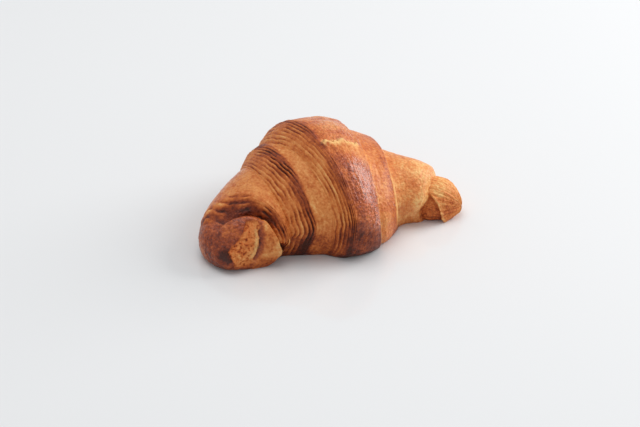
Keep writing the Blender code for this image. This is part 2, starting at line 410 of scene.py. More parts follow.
def spine_at(s):
    """Place (x, y) and heading of the spine at s."""
    grid = np.linspace(-1.0, 1.0, SPINE_SAMPLES)
    curl = np.clip((WEST_CURL_START - grid) / (1 + WEST_CURL_START), 0, 1) ** CURL_EASE
    heading = -SPINE_BEND * grid + WEST_CURL * curl
    middle = (heading[1:] + heading[:-1]) / 2
    stride = np.diff(grid) * SPINE_HALF_LENGTH
    x = np.concatenate([[0], np.cumsum(np.cos(middle) * stride)])
    y = np.concatenate([[0], np.cumsum(np.sin(middle) * stride)])
    x -= x[SPINE_SAMPLES // 2]
    y -= y[SPINE_SAMPLES // 2]
    return np.interp(s, grid, x), np.interp(s, grid, y), np.interp(s, grid, heading)


def groove_row(angle, column):
    """The horn's rim (column 1) or the collar's edge (column 2) of the groove round the west horn."""
    angles = [radians(row[0]) for row in NOSE_GROOVE]
    return curve_through(angles, [row[column] for row in NOSE_GROOVE], angle)


def step_lines(angle):
    """Where each step runs along the spine, for each angle from the top (the front is positive)."""
    away = np.abs(angle)
    back = 1 - smoothstep((away - STEP_RETURN) / (pi - STEP_RETURN))
    turns = np.sign(angle) * np.minimum(away, STEP_RETURN) / (2 * pi) * back
    lines = [
        place + faces * STEP_PITCH * turns + lean * np.sin(angle)
        for place, _, _, lean, faces in STEPS
    ]
    lines[0] = groove_row(angle, 1)
    lines[-1] = lines[-1] - EAST_TUCK * smoothstep((angle - EAST_TUCK_FROM) / EAST_TUCK_OVER) * back
    return lines


def flap_across(s):
    return smoothstep((s - FLAP_WEST) / FLAP_SIDE) * smoothstep((FLAP_EAST - s) / FLAP_SIDE)


def nose_groove(angle):
    """How deep the groove over the west horn is, from the outer side of the bend to the top."""
    open_share = (angle - NOSE_GROOVE_OPEN) / (NOSE_GROOVE_DEEP - NOSE_GROOVE_OPEN)
    return NOSE_GROOVE_LEAST + (1 - NOSE_GROOVE_LEAST) * smoothstep(open_share)


def ragged(s):
    """A torn edge's wander, about -1 to 1."""
    return 0.5 * np.sin(47 * s + 0.6) + 0.3 * np.sin(96 * s + 2.0) + 0.2 * np.sin(171 * s)


def slope_length(k, angle, lines):
    """How long the slope above step k is. The first one is as wide as the groove round the west horn."""
    if k == 0:
        return (groove_row(angle, 2) - lines[0]) * SPINE_HALF_LENGTH
    return STEPS[k][2]


def step_depth(s, angle, lines):
    """How far the crust lies under the roll's outer envelope."""
    total = np.zeros_like(s)
    for k, (_, depth, _, _, faces) in enumerate(STEPS):
        inward = (lines[k] - s) * faces * SPINE_HALF_LENGTH
        lower = k + faces
        if k == 0:
            back = NOSE_BACK
        elif 0 <= lower < len(STEPS) and STEPS[lower][4] == faces:
            back = np.abs(lines[lower] - lines[k]) * SPINE_HALF_LENGTH * BACK_SHARE
        else:
            back = HORN_BACK * BACK_SHARE
        climb = np.clip(1 - inward / slope_length(k, angle, lines), 0, 1) ** SLOPE_POWER
        swell = np.clip(1 + inward / back, 0, 1) ** BACK_POWER
        groove = depth * np.where(inward >= 0, climb, swell)
        if k == 0:
            groove = groove * nose_groove(angle)
        total += groove
    edge = FLAP_EDGE + FLAP_RAGGED * ragged(s)
    behind = np.clip((edge - angle) / FLAP_REACH, 0, 1)
    flap = np.where(angle < edge, FLAP_DEPTH * (1 - smoothstep(behind)), 0.0)
    flap = flap - FLAP_LIP * bump(angle - edge - FLAP_LIP_WIDTH, FLAP_LIP_WIDTH)
    total += flap * flap_across(s)
    pressed = (STEPS_FADE_TO - np.abs(angle)) / (STEPS_FADE_TO - STEPS_FADE_FROM)
    return total * np.clip(pressed, 0, 1)


def crust_points(s, angle, extra=0.0):
    """Points of the crust before they are centred. extra is how far they are sunk besides the steps."""
    knots = [row[0] for row in SECTIONS]
    half_width = curve_through(knots, [row[1] for row in SECTIONS], s)
    height = curve_through(knots, [row[2] for row in SECTIONS], s)
    west = np.clip((WEST_ROUNDING - 1 - s) / WEST_ROUNDING, 0, 1)
    east = np.clip((EAST_ROUNDING - 1 + s) / EAST_ROUNDING, 0, 1)
    closing = np.sqrt(np.clip(1 - west**2, 0, 1) * np.clip(1 - east**2, 0, 1))
    up, out = np.cos(angle), np.sin(angle)
    power = np.where(up > 0, CROWN_POWER, FOOT_POWER)
    reach = (np.abs(out) ** power + np.abs(up) ** power) ** (-1 / power)
    tall = np.where(up > 0, 1 - WIDEST_AT, WIDEST_AT + FOOT_SINK) * height * closing
    tuck = curve_through([row[0] for row in TUCK], [row[1] for row in TUCK], s)
    tuck = tuck * smoothstep((angle - TUCK_FROM) / TUCK_OVER)
    across = out * reach * half_width * closing * (1 - tuck)
    above = up * reach * tall
    radius = np.hypot(across, above) + TINY
    depth = (step_depth(s, angle, step_lines(angle)) + extra) * closing
    shrink = np.clip(1 - depth / radius, *SHRINK_LIMITS)
    x, y, heading = spine_at(s)
    across = across * shrink
    z = np.maximum(WIDEST_AT * height + above * shrink, 0)
    return np.stack([x + np.sin(heading) * across, y - np.cos(heading) * across, z], -1)


def column_angles():
    """Angles round the roll, closer together on the front and the top than underneath."""
    fine = np.linspace(-pi, pi, ANGLE_SAMPLES)
    dense = COLUMN_DENSITY * ramp(fine, DENSE_FROM, DENSE_FROM_OVER)
    dense = dense * smoothstep((DENSE_TO - fine) / DENSE_TO_OVER)
    density = COLUMN_DENSITY + dense
    total = np.concatenate([[0], np.cumsum((density[1:] + density[:-1]) / 2)])
    return np.interp(np.arange(COLUMNS) / COLUMNS * total[-1], total, fine)


def row_grid(angle):
    """Place along the spine, wrap number and share of the wrap for every ring."""
    lines = [np.full_like(angle, -1.0), *step_lines(angle), np.full_like(angle, 1.0)]
    places, wraps, shares = [], [], []
    for k, count in enumerate(ROWS):
        t = np.arange(count) / count
        eased = (1 - ROW_EASE) * t + ROW_EASE * (1 - np.cos(pi * t)) / 2
        if k == 0:
            eased = t**TIP_EASE
        if k == len(ROWS) - 1:
            eased = 1 - (1 - t) ** TIP_EASE
        for share in eased:
            places.append(lines[k] + (lines[k + 1] - lines[k]) * share)
            wraps.append(k)
            shares.append(share)
    return np.array(places[1:]), np.array(wraps[1:]), np.array(shares[1:])


# ---------------------------------------------------------------- the torn west horn

def nose_face(points):
    """Place of each point on the horn's end face: how far east and how far up it lies."""
    middle = crust_points(np.array(NOSE_MIDDLE[0]), np.array(NOSE_MIDDLE[1]))
    east = np.array([cos(NOSE_AZIMUTH), sin(NOSE_AZIMUTH), 0])
    lean = sin(NOSE_ELEVATION)
    lift = np.array([-sin(NOSE_AZIMUTH) * lean, cos(NOSE_AZIMUTH) * lean, cos(NOSE_ELEVATION)])
    outward = np.cross(east, lift)
    offset = points - middle
    return offset @ east, offset @ lift, offset @ outward


def ellipse(p, q, shape):
    """Above 0 inside the ellipse, 1 at its middle."""
    east, up, half_width, half_height = shape
    return 1 - np.hypot((p - east) / half_width, (q - up) / half_height)


def nose_fields(points, s):
    """What the horn's torn end adds: depth, and a mask for each of its parts."""
    p, q, out = nose_face(points)
    near = smoothstep((NOSE_REACH - s) / NOSE_REACH_FADE) * smoothstep((out + NOSE_BEHIND) / NOSE_BEHIND_FADE)
    heights, starts, stops = np.array(CRUMB_EDGES).T
    start, stop = np.interp(q, heights, starts), np.interp(q, heights, stops)
    inside = smoothstep((p - start) / CRUMB_SOFTNESS) * smoothstep((stop - p) / CRUMB_SOFTNESS)
    inside = inside * smoothstep((q - heights[0]) / CRUMB_SOFTNESS)
    inside = inside * smoothstep((heights[-1] - q) / CRUMB_SOFTNESS)
    crumb = inside * near
    tall = ramp(q, CRACK_FOOT, CRACK_FADE) * smoothstep((CRACK_TOP - q) / CRACK_FADE)
    crack = bump(p - stop, CRACK_WIDTH) * tall * near
    rim = bump(p - stop + RIM_INSIDE, RIM_WIDTH) * tall * near
    lens = smoothstep(ellipse(p, q, LENS) / LENS_EDGE) * (1 - inside) * near * (p < start + LENS_OVERLAP)
    lens_dome = np.clip(ellipse(p, q, LENS), 0, 1) ** 0.5 * lens
    hollow = smoothstep(ellipse(p, q, HOLLOW) / HOLLOW_EDGE) * (1 - inside) * near
    side = ramp(p - stop, CRACK_WIDTH, SIDE_FLAP_EDGE) * near
    burnt = side * (1 - ramp(p - stop, BURNT_REACH, BURNT_REACH_FADE))
    burnt = burnt * ramp(q, BURNT_FOOT, BURNT_FADE) * smoothstep((BURNT_TOP - q) / BURNT_FADE)
    side_foot = side * smoothstep((SIDE_FOOT_TOP - q) / SIDE_FOOT_FADE)
    lower = near * (1 - ramp(q, LOWER_TOP, LOWER_FADE))
    depth = CRUMB_SINK * crumb + CRACK_DEPTH * crack + HOLLOW_DEPTH * hollow
    depth = depth - LENS_RISE * lens_dome - SIDE_FLAP_RISE * side
    return {
        "depth": depth, "crumb": crumb, "crack": crack, "lens": lens, "hollow": hollow,
        "side": side, "side_foot": side_foot, "lower": lower, "burnt": burnt, "rim": rim, "near": near,
    }


# ---------------------------------------------------------------- the fold on the east horn

def fold_fields(s, angle, lines):
    """The pocket between the last step and the fold on the east horn, and the fold's own edge."""
    angles, places = np.array(FOLD).T
    edge = np.interp(angle, np.radians(angles), places)
    beyond = (s - edge) * SPINE_HALF_LENGTH
    started = turned(angle, *FOLD_START) * (1 - turned(angle, *FOLD_STOP))
    past_step = smoothstep((s - lines[-1]) * SPINE_HALF_LENGTH / FOLD_SOFTNESS)
    pocket = past_step * smoothstep(-beyond / FOLD_SOFTNESS) * started
    ridge = bump(beyond - FOLD_SOFTNESS, FOLD_WIDTH) * started
    torn = smoothstep(beyond / FOLD_TORN_FADE) * started
    return {"depth": FOLD_HOLLOW * pocket - FOLD_RISE * ridge, "pocket": pocket, "ridge": ridge, "torn": torn}


# ---------------------------------------------------------------- baking, painted shade and other marks of the surface

def wrap_marks(s, angle, wraps, lines):
    """Baking with painted shade in the groove over the west horn, strength of the layers, pale lips with a
    painted highlight and share of slope, from each point's place on its wrap.
    """
    ends = [np.full_like(angle, -1.0), *lines, np.full_like(angle, 1.0)]
    bake_and_shade, layers, pale, slope_share = (np.zeros_like(s) for _ in range(4))
    for k in range(len(ROWS)):
        rows = wraps == k
        here = s[rows]
        low, high = (np.broadcast_to(line, s.shape)[rows] for line in ends[k:k + 2])
        run = (here - low) * SPINE_HALF_LENGTH
        if k <= MIDDLE_WRAP:
            foot, crest, roof = WEST_BAKE[k]
            climbed = run / (slope_length(k - 1, angle[rows], lines) if k else HORN_BACK)
            level = mix(foot, crest, ramp(climbed, *CREST_BAKED))
            bake_and_shade[rows] = mix(level, roof, ramp(climbed, *ROOF_BAKED))
        else:
            inner, middle, outer = EAST_BAKE[k - MIDDLE_WRAP - 1]
            level = mix(inner, middle, smoothstep(run / SHELTER))
            bake_and_shade[rows] = mix(level, outer, ramp((here - low) / (high - low), *OUTER_BAKED))
        # Painted shade in the recess of the groove over the west horn, with some extra baking.
        if k == 1:
            shaded_recess = (1 - ramp(climbed, *RECESS_SHADED)) * nose_groove(angle[rows])
            bake_and_shade[rows] += GROOVE_SHADE_AND_BURN * shaded_recess
        if 1 <= k <= MIDDLE_WRAP:
            on_slope = mix(FOOT_LAYERS, 1.0, ramp(climbed, *LAYERS_START))
            layers[rows] = mix(on_slope, ROOF_LAYERS, ramp(climbed, *LAYERS_STOP))
            slope_share[rows] = 1 - ramp(climbed, *SLOPE_STOP)
        # Pale lips: paler dough with a painted highlight along each edge.
        if MIDDLE_WRAP <= k < MIDDLE_WRAP + len(LIP_PALE_AND_HIGHLIGHT):
            lip = (high - here) * SPINE_HALF_LENGTH
            pale[rows] += LIP_PALE_AND_HIGHLIGHT[k - MIDDLE_WRAP] * bump(lip - LIP_INSIDE, LIP_WIDTH[k - MIDDLE_WRAP])
    return bake_and_shade, layers, pale, slope_share


def middle_wrap(s, angle, wraps, lines):
    """The middle wrap's roof, its shares in front, behind the torn edge and low down, and its baking, darker
    low down partly as painted shade.
    """
    step = MIDDLE_WRAP - 1
    climbed = (s - lines[step]) * SPINE_HALF_LENGTH / STEPS[step][2]
    roof = (wraps == MIDDLE_WRAP)[:, None] * smoothstep(climbed - MIDDLE_ROOF_FROM)
    front = turned(angle, *MIDDLE_FRONT)
    behind = 1 - smoothstep((angle - FLAP_EDGE + BEHIND_EDGE) / BEHIND_EDGE_FADE)
    west = 1 - ramp(s - lines[step], *MIDDLE_WEST)
    low = turned(angle, *MIDDLE_LOW)
    bake_and_shade = mix(MIDDLE_BAKE["top"], mix(MIDDLE_BAKE["front"], MIDDLE_BAKE["west front"], west), front)
    # Low on the front the roof darkens: partly deeper baking, partly painted shade.
    bake_and_shade = mix(bake_and_shade, mix(MIDDLE_BAKE["low"], MIDDLE_BAKE["west low"], west), low)
    bake_and_shade = mix(bake_and_shade, MIDDLE_BAKE["behind"], behind * turned(angle, *BEHIND_START))
    bake_and_shade = mix(bake_and_shade, MIDDLE_BAKE["back"], turned(-angle, *MIDDLE_BACK))
    return roof, front, behind, low, bake_and_shade


def pale_edges(pale, s, angle, pressed):
    """The pale lips with their painted highlight, with the torn edge on the middle wrap and the flecks before
    it.
    """
    past_edge = angle - (FLAP_EDGE + FLAP_RAGGED * ragged(s))
    torn_edge = bump(past_edge - TORN_EDGE_PLACE, TORN_EDGE_WIDTH) * flap_across(s)
    flecks = FLECKS_PALE * turned(past_edge, *FLECKS_START) * (1 - turned(past_edge, *FLECKS_STOP))
    pale = np.maximum(pale, np.maximum(torn_edge, flecks * flap_across(s)))
    return pale * pressed * (1 - PALE_LOST_BEHIND * turned(-angle, *PALE_LOST_START))


def roll_place(s, angle, wraps, shares):
    """Where patterns lie: x runs along the roll, wrap by wrap, and y and z run round it."""
    tops = [-1.0, *(step[0] for step in STEPS), 1.0]
    widths = [(after - before) * SPINE_HALF_LENGTH for before, after in zip(tops, tops[1:])]
    starts = np.concatenate([[0], np.cumsum(widths)])
    along = starts[wraps] + np.array(widths)[wraps] * shares
    along = np.broadcast_to(along[:, None], s.shape)
    return np.stack([along, PATTERN_RADIUS * np.cos(angle), PATTERN_RADIUS * np.sin(angle)], -1)


def surface_fields(s, angle, wraps, shares, lines, points, nose, fold):
    """The marks that the crust carries, one number for each point and mark."""
    bake_and_shade, layers, pale, slope_share = wrap_marks(s, angle, wraps, lines)
    roof, front, behind, low, middle_bake = middle_wrap(s, angle, wraps, lines)
    pressed = smoothstep((STEPS_FADE_TO - np.abs(angle)) / (STEPS_FADE_TO - STEPS_FADE_FROM))

    bake_and_shade = mix(bake_and_shade, middle_bake, roof)
    outside = nose["lower"] * (1 - nose["side"]) * smoothstep((LOWER_FROM - angle) / LOWER_OVER)
    bake_and_shade = mix(bake_and_shade, LOWER_BAKE, outside * LOWER_SHARE)
    for part, level in NOSE_BAKE.items():
        bake_and_shade = mix(bake_and_shade, level, nose[part])
    # Painted shade in the horn's hollow and crack.
    bake_and_shade = mix(bake_and_shade, NOSE_SHADE, np.maximum(nose["hollow"], nose["crack"]))
    bake_and_shade = mix(bake_and_shade, FOLD_POCKET_BAKE, fold["pocket"])
    bake_and_shade = mix(bake_and_shade, FOLD_TORN_BAKE, fold["torn"])
    # Painted shade low on the front of two wraps, off the middle wrap's roof.
    under = turned(angle, *LOW_FRONT_SHADE_START) * np.isin(wraps, LOW_FRONT_SHADE_WRAPS)[:, None]
    bake_and_shade = bake_and_shade + LOW_FRONT_SHADE * under * (1 - roof)
    # Darker along the foot: a darker baked base with painted contact shade.
    foot = 1 - smoothstep(points[..., 2] / FOOT_SHADE_HEIGHT)
    bake_and_shade = bake_and_shade + FOOT_SHADE_AND_BURN * foot * (np.abs(angle) > pi / 2)

    along = roof * behind * (1 - turned(-angle, *ALONG_STOP))
    glaze = roof * front * (1 - LOW_UNGLAZED * low)
    for coat in (
        ALONG_GLAZE * along,
        BACK_GLAZE * (1 - slope_share) * turned(-angle, *BACK_GLAZE_START),
        EAST_GLAZE * np.isin(wraps, EAST_GLAZED_WRAPS)[:, None],
        NOSE_GLAZE * nose["near"] * (1 - nose["crumb"]) * (1 - nose["side"]) * (1 - nose["hollow"]),
    ):
        glaze = np.maximum(glaze, coat)
    along = np.maximum(along, (wraps == FURROWED_WRAP)[:, None])

    pale = pale_edges(pale, s, angle, pressed)
    # Painted highlight on the crumb's rim beside the crack.
    pale = np.maximum(pale, CRUMB_RIM_HIGHLIGHT * nose["rim"])
    pale = np.maximum(pale, FOLD_PALE * fold["ridge"])
    return {
        "bake_and_shade": bake_and_shade,
        "layers": layers * pressed,
        "pale": np.clip(pale, 0, 1),
        "glaze": np.clip(glaze, 0, 1) * pressed,
        "crumb": np.maximum(nose["crumb"], FOLD_CRUMB * fold["torn"]),
        "along": np.clip(along, 0, 1),
        "free": smoothstep(points[..., 2] / FREE_HEIGHT),
        "plain": 1 - np.clip(layers, 0, 1),
        "roll": roll_place(s, angle, wraps, shares),
    }


def build_base_mesh():
    """The closed skin of the croissant, with its marks as named attributes."""
    angle = column_angles()
    places, wraps, shares = row_grid(angle)
    grid_angle = np.broadcast_to(angle, places.shape)
    lines = step_lines(angle)
    plain = crust_points(places, grid_angle)
    nose = nose_fields(plain, places)
    fold = fold_fields(places, grid_angle, lines)
    rings = crust_points(places, grid_angle, nose["depth"] + fold["depth"])
    marks = surface_fields(places, grid_angle, wraps, shares, lines, rings, nose, fold)

    tips = np.array([rings[0].mean(0), rings[-1].mean(0)])
    low, high = plain.reshape(-1, 3).min(0), plain.reshape(-1, 3).max(0)
    middle = np.array([(low[0] + high[0]) / 2, (low[1] + high[1]) / 2, 0.0])
    frame_middle = np.array([(CAD_LOW.x + CAD_HIGH.x) / 2, (CAD_LOW.y + CAD_HIGH.y) / 2, CAD_LOW.z])
    points = np.concatenate([rings.reshape(-1, 3), tips]) - middle + frame_middle

    rows, columns = places.shape
    first = np.arange(rows - 1)[:, None] * columns + np.arange(columns)
    beside = np.arange(rows - 1)[:, None] * columns + (np.arange(columns) + 1) % columns
    quads = np.stack([first, beside, beside + columns, first + columns], -1).reshape(-1, 4)
    around = np.arange(columns)
    after = (around + 1) % columns
    west, east = rows * columns, rows * columns + 1
    last = (rows - 1) * columns
    fans = [(west, b, a) for a, b in zip(around, after)]
    fans += [(east, last + a, last + b) for a, b in zip(around, after)]
    mesh = bpy.data.meshes.new("croissant_crust")
    mesh.from_pydata(points.tolist(), [], quads.tolist() + fans)
    for name, values in marks.items():
        if values.ndim == 3:
            ends = np.array([values[0].mean(0), values[-1].mean(0)])
            flat = np.concatenate([values.reshape(-1, 3), ends])
            attribute = mesh.attributes.new(name, "FLOAT_VECTOR", "POINT")
            attribute.data.foreach_set("vector", flat.ravel().astype(np.float32))
        else:
            flat = np.concatenate([values.ravel(), [values[0].mean(), values[-1].mean()]])
            attribute = mesh.attributes.new(name, "FLOAT", "POINT")
            attribute.data.foreach_set("value", flat.astype(np.float32))
    mesh.update()
    return mesh


# ---------------------------------------------------------------- node helpers

def add(tree, kind, inputs=None, **settings):
    """Adds a node, sets it up, and fills or links its inputs."""
    node = tree.nodes.new(kind)
    for name, value in settings.items():
        setattr(node, name, value)
    for key, value in (inputs or {}).items():
        socket = node.inputs[key]
        if isinstance(value, bpy.types.NodeSocket):
            tree.links.new(value, socket)
        else:
            socket.default_value = value
    return node


def sums(tree, operation, first, second=None, third=None):
    """A Math node's result."""
    values = {i: v for i, v in enumerate((first, second, third)) if v is not None}
    return add(tree, "ShaderNodeMath", values, operation=operation).outputs[0]


def stretch(tree, value, low, high, out_low=0.0, out_high=1.0):
    """Takes the range low to high onto the range out_low to out_high, and stops at its ends."""
    inputs = {"Value": value, "From Min": low, "From Max": high, "To Min": out_low, "To Max": out_high}
    return add(tree, "ShaderNodeMapRange", inputs).outputs[0]


def noise(tree, vector, pattern, seed):
    """A noise texture's value. The pattern is its repeats to the metre, detail and roughness."""
    scale, detail, roughness = pattern
    inputs = {"Vector": vector, "W": seed, "Scale": scale, "Detail": detail, "Roughness": roughness}
    return add(tree, "ShaderNodeTexNoise", inputs, noise_dimensions="4D").outputs["Fac"]


def less_half(tree, value):
    """Makes a pattern swing about 0."""
    return sums(tree, "SUBTRACT", value, 0.5)


def drawn_round(tree, roll, share):
    """Places that draw a pattern out round the roll."""
    factors = (1.0, share, share)
    return add(tree, "ShaderNodeVectorMath", {0: roll, 1: factors}, operation="MULTIPLY").outputs[0]


def drawn_along(tree, roll, share):
    """Places that draw a pattern out along the roll."""
    factors = (share, 1.0, 1.0)
    return add(tree, "ShaderNodeVectorMath", {0: roll, 1: factors}, operation="MULTIPLY").outputs[0]


# ---------------------------------------------------------------- relief of the crust, as Geometry Nodes

def marks_node(tree, name, kind="FLOAT"):
    return add(tree, "GeometryNodeInputNamedAttribute", {"Name": name}, data_type=kind).outputs["Attribute"]


def relief_tree():
    """Raises layers, wrinkles, furrows, blisters and torn crumb where the crust's marks call for them."""
    tree = bpy.data.node_groups.new("Crust relief", "GeometryNodeTree")
    face = tree.interface
    face.new_socket("Geometry", in_out="INPUT", socket_type="NodeSocketGeometry")
    for name in (
        "Layer height", "Layer spacing", "Layer waviness", "Wrinkle depth", "Furrow depth",
        "Blister height", "Blister size", "Crumb depth", "Unevenness",
    ):
        face.new_socket(name, in_out="INPUT", socket_type="NodeSocketFloat")
    face.new_socket("Seed", in_out="INPUT", socket_type="NodeSocketInt")
    face.new_socket("Crust", in_out="INPUT", socket_type="NodeSocketMaterial")
    face.new_socket("Geometry", in_out="OUTPUT", socket_type="NodeSocketGeometry")
    given = tree.nodes.new("NodeGroupInput").outputs
    seed = given["Seed"]
    roll = marks_node(tree, "roll", "FLOAT_VECTOR")
    place = tree.nodes.new("GeometryNodeInputPosition").outputs[0]

    # Layers: thin terraces along each laminated slope, which wander and run into each other.
    grain = add(tree, "ShaderNodeSeparateXYZ", {0: roll}).outputs["X"]
    wander = less_half(tree, noise(tree, roll, WANDER, seed))
    flutter = less_half(tree, noise(tree, roll, FLUTTER, seed))
    drift = sums(tree, "MULTIPLY_ADD", flutter, FLUTTER_SHARE, wander)
    shifted = sums(tree, "MULTIPLY_ADD", drift, given["Layer waviness"], grain)
    count = sums(tree, "DIVIDE", shifted, given["Layer spacing"])
    within = sums(tree, "FRACT", count)
    rise = sums(tree, "POWER", within, TERRACE_POWER)
    fall = sums(tree, "MULTIPLY", sums(tree, "SUBTRACT", 1.0, within), TERRACE_DROP)
    terrace = sums(tree, "MINIMUM", rise, fall)
    number = sums(tree, "FLOOR", count)
    own = add(tree, "ShaderNodeTexWhiteNoise", {"W": number}, noise_dimensions="1D").outputs["Value"]
    patchy = stretch(tree, noise(tree, roll, LAYER_PATCHES, seed), *LAYER_PATCH_SPAN)
    strength = sums(tree, "MULTIPLY", patchy, stretch(tree, own, 0.0, 1.0, *LAYER_STRENGTH))
    layered = sums(tree, "MULTIPLY", marks_node(tree, "layers"), strength)
    layer_height = sums(tree, "MULTIPLY", less_half(tree, terrace), layered)
    total = sums(tree, "MULTIPLY", layer_height, given["Layer height"])

    # Wrinkles: fine, and drawn out round the roll.
    fine = noise(tree, drawn_round(tree, roll, WRINKLES_DRAWN), WRINKLES, seed)
    glaze = marks_node(tree, "glaze")
    skin = sums(tree, "MULTIPLY_ADD", glaze, WRINKLES_UNDER_GLAZE, 1.0)
    wrinkle = sums(tree, "MULTIPLY", less_half(tree, fine), skin)
    total = sums(tree, "MULTIPLY_ADD", wrinkle, given["Wrinkle depth"], total)

    # Furrows: long folds that run along the roll instead of round it.
    furrow = less_half(tree, noise(tree, drawn_along(tree, roll, FURROWS_DRAWN), FURROWS, seed))
    furrow = sums(tree, "MULTIPLY", furrow, marks_node(tree, "along"))
    total = sums(tree, "MULTIPLY_ADD", furrow, given["Furrow depth"], total)

    # Blisters: small domes in the glaze.
    cells = sums(tree, "DIVIDE", 1.0, given["Blister size"])
    warp = add(tree, "ShaderNodeTexNoise", {"Vector": place, "Scale": BLISTER_WARP_SCALE}).outputs["Color"]
    shift = {0: warp, 1: (BLISTER_WARP,) * 3, 2: place}
    moved = add(tree, "ShaderNodeVectorMath", shift, operation="MULTIPLY_ADD").outputs[0]
    cell = add(tree, "ShaderNodeTexVoronoi", {"Vector": moved, "Scale": cells}, feature="F1")
    inside = stretch(tree, cell.outputs["Distance"], 0.0, BLISTER_EDGE, 1.0, 0.0)
    dome = sums(tree, "POWER", inside, BLISTER_POWER)
    some = stretch(tree, noise(tree, place, BLISTERED, seed), *BLISTERED_SPAN)
    blister = sums(tree, "MULTIPLY", sums(tree, "MULTIPLY", dome, some), glaze)
    total = sums(tree, "MULTIPLY_ADD", blister, given["Blister height"], total)

    # Crumb: rough torn dough.
    rough = less_half(tree, noise(tree, place, TORN_CRUMB, seed))
    torn = sums(tree, "MULTIPLY", rough, marks_node(tree, "crumb"))
    total = sums(tree, "MULTIPLY_ADD", torn, given["Crumb depth"], total)

    # Slow unevenness of the whole roll.
    slow = less_half(tree, noise(tree, place, SLOW_SWELL, seed))
    total = sums(tree, "MULTIPLY_ADD", slow, given["Unevenness"], total)

    freed = sums(tree, "MULTIPLY", total, marks_node(tree, "free"))
    normal = tree.nodes.new("GeometryNodeInputNormal").outputs[0]
    offset = add(tree, "ShaderNodeVectorMath", {0: normal, "Scale": freed}, operation="SCALE").outputs[0]
    # The terraces also give the colour painted shade in the gaps between layers and a painted highlight on
    # their edges, stored as groove.
    hidden = sums(tree, "SUBTRACT", 0.5, terrace)
    layer_shade_and_highlight = sums(tree, "MULTIPLY", hidden, layered)
    stored = add(
        tree, "GeometryNodeStoreNamedAttribute",
        {"Geometry": given["Geometry"], "Name": "groove", "Value": layer_shade_and_highlight},
        data_type="FLOAT", domain="POINT",
    ).outputs[0]
    raised = add(tree, "GeometryNodeSetPosition", {"Geometry": stored, "Offset": offset}).outputs[0]
    risen = tree.nodes.new("GeometryNodeInputPosition").outputs[0]
    apart = add(tree, "ShaderNodeSeparateXYZ", {0: risen}).outputs
    level = sums(tree, "MAXIMUM", apart["Z"], 0.0)
    settled = add(tree, "ShaderNodeCombineXYZ", {"X": apart["X"], "Y": apart["Y"], "Z": level}).outputs[0]
    rested = add(tree, "GeometryNodeSetPosition", {"Geometry": raised, "Position": settled}).outputs[0]
    smooth = add(tree, "GeometryNodeSetShadeSmooth", {"Geometry": rested}).outputs[0]
    real = add(tree, "GeometryNodeRealizeInstances", {"Geometry": smooth}).outputs[0]
    made = add(tree, "GeometryNodeSetMaterial", {"Geometry": real, "Material": given["Crust"]}).outputs[0]
    tree.links.new(made, tree.nodes.new("NodeGroupOutput").inputs[0])
    return tree


def apply_tree(mesh, tree, values, name):
    """Runs the tree on the mesh and returns a plain object of the result."""
    source = bpy.data.objects.new(name + "_source", mesh)
    bpy.context.scene.collection.objects.link(source)
    modifier = source.modifiers.new(tree.name, "NODES")
    modifier.node_group = tree
    for item in tree.interface.items_tree:
        if item.in_out == "INPUT" and item.name in values:
            modifier[item.identifier] = values[item.name]
    source.update_tag()
    graph = bpy.context.evaluated_depsgraph_get()
    graph.update()
    plain = bpy.data.meshes.new_from_object(source.evaluated_get(graph), depsgraph=graph)
    bpy.data.objects.remove(source)
    plain.name = name
    piece = bpy.data.objects.new(name, plain)
    bpy.context.scene.collection.objects.link(piece)
    return piece


# ---------------------------------------------------------------- materials

def mixed_colour(tree, share, first, second, blend):
    """Mixes a plain colour into another. Sockets 0, 6 and 7 are a colour Mix's share, first and second."""
    inputs = {0: share, 6: first, 7: (*second, 1.0)}
    return add(tree, "ShaderNodeMix", inputs, data_type="RGBA", blend_type=blend).outputs[2]


def bake_tone_group(colours):
    """Turns a level of baking, with its painted shade, into crust colour. Shared by every crust material."""
    tree = bpy.data.node_groups.new("Bake tone", "ShaderNodeTree")
    face = tree.interface
    for name, low, high, start in (("Bake", 0, 1, 0.5), ("Redness", 0, 1, 0.0), ("Pale", 0, 1, 0.0)):
        socket = face.new_socket(name, in_out="INPUT", socket_type="NodeSocketFloat")
        socket.min_value, socket.max_value, socket.default_value = low, high, start
    face.new_socket("Color", in_out="OUTPUT", socket_type="NodeSocketColor")
    given = tree.nodes.new("NodeGroupInput").outputs
    baked = add(tree, "ShaderNodeValToRGB", {"Fac": given["Bake"]})
    stops = baked.color_ramp.elements
    tones = (
        (0.00, colours.cream), (0.22, colours.golden), (0.46, colours.amber),
        (0.66, colours.brown), (0.84, colours.mahogany), (1.00, colours.burnt),
    )
    while len(stops) < len(tones):
        stops.new(0.5)
    for stop, (position, colour) in zip(stops, tones):
        stop.position = position
        stop.color = (*colour, 1.0)
    red = mixed_colour(tree, given["Redness"], baked.outputs[0], colours.red_tint, "MULTIPLY")
    pale = mixed_colour(tree, given["Pale"], red, colours.cream, "MIX")
    tree.links.new(pale, tree.nodes.new("NodeGroupOutput").inputs[0])
    return tree


def mark(tree, name, output="Fac"):
    return add(tree, "ShaderNodeAttribute", attribute_name=name, attribute_type="GEOMETRY").outputs[output]


